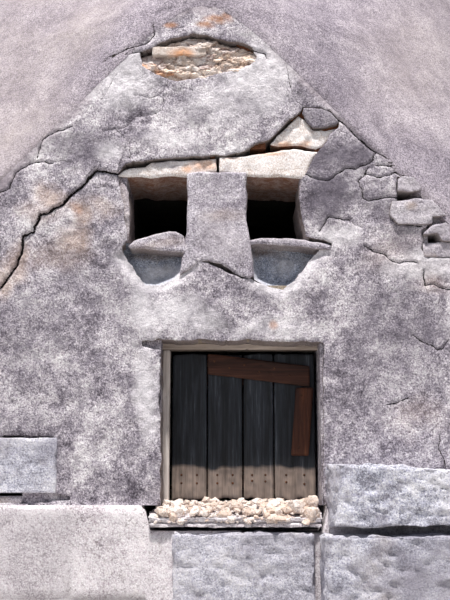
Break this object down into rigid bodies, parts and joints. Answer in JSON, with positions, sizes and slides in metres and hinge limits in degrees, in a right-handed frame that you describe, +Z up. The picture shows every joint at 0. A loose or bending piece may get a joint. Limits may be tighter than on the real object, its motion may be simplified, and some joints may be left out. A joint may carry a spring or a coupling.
{
  "type": "trullo house",
  "caption": "Round rural stone house with a corbelled cone roof, a flat plastered gable with two small vents, and a low boarded hatch that opens inward.",
  "frame": {"origin": "on the axis of the round room and its cone, at ground level", "axes": "+Z up, -Y out through the front gable with the hatch, +X to the right seen from the front"},
  "size_m": [6.9, 6.38, 7.3504],
  "materials": {
    "limestone": "rough weathered limestone",
    "plastered_masonry": "weathered lime plaster over stone",
    "frame_wood": "bleached old timber",
    "plank_wood": "dark grey weathered planks",
    "batten_wood": "red-brown worn paint on timber",
    "wrought_iron": "rusted wrought iron"
  },
  "bodies": {
    "house": {"vent_pillar": "limestone", "vent_sill_left": "limestone", "vent_sill_right": "limestone", "vent_lintel_left": "limestone", "vent_lintel_right": "limestone", "upper_stone": "limestone", "edge_slab_upper": "limestone", "edge_slab_lower": "limestone", "buttress_base": "limestone", "buttress_lower": "limestone", "buttress_upper": "limestone", "sill_bed": "limestone", "front_block": "limestone", "left_course": "limestone", "floor_slab": "limestone", "drum_left": "limestone", "drum_right": "limestone", "drum_back": "limestone", "drum_front_left": "limestone", "drum_front_right": "limestone", "pinnacle_base": "limestone", "pinnacle_ball": "limestone", "vent_apron": "plastered_masonry", "hatch_lintel": "plastered_masonry", "gable_left": "plastered_masonry", "gable_right": "plastered_masonry", "gable_top": "plastered_masonry", "vault_front_left": "plastered_masonry", "vault_front_right": "plastered_masonry", "vault_front_lintel": "plastered_masonry", "vault_low_left": "plastered_masonry", "vault_low_right": "plastered_masonry", "vault_low_back": "plastered_masonry", "vault_middle_front": "plastered_masonry", "vault_middle_left": "plastered_masonry", "vault_middle_right": "plastered_masonry", "vault_middle_back": "plastered_masonry", "vault_top": "plastered_masonry", "hatch_head_board": "frame_wood", "hatch_jamb_board": "frame_wood", "hinge_pintles": "wrought_iron"},
    "hatch_leaf": {"leaf_planks": "plank_wood", "leaf_ledges": "plank_wood", "leaf_rail": "batten_wood", "leaf_stile": "batten_wood", "leaf_straps": "wrought_iron"}
  },
  "joints": [
    {"name": "hatch_hinge", "type": "hinge", "parent": "house", "child": "hatch_leaf", "pos_m": [-0.133, -2.359, 1.555], "axis": [0, 0, 1], "range_deg": [0, 90]}
  ]
}
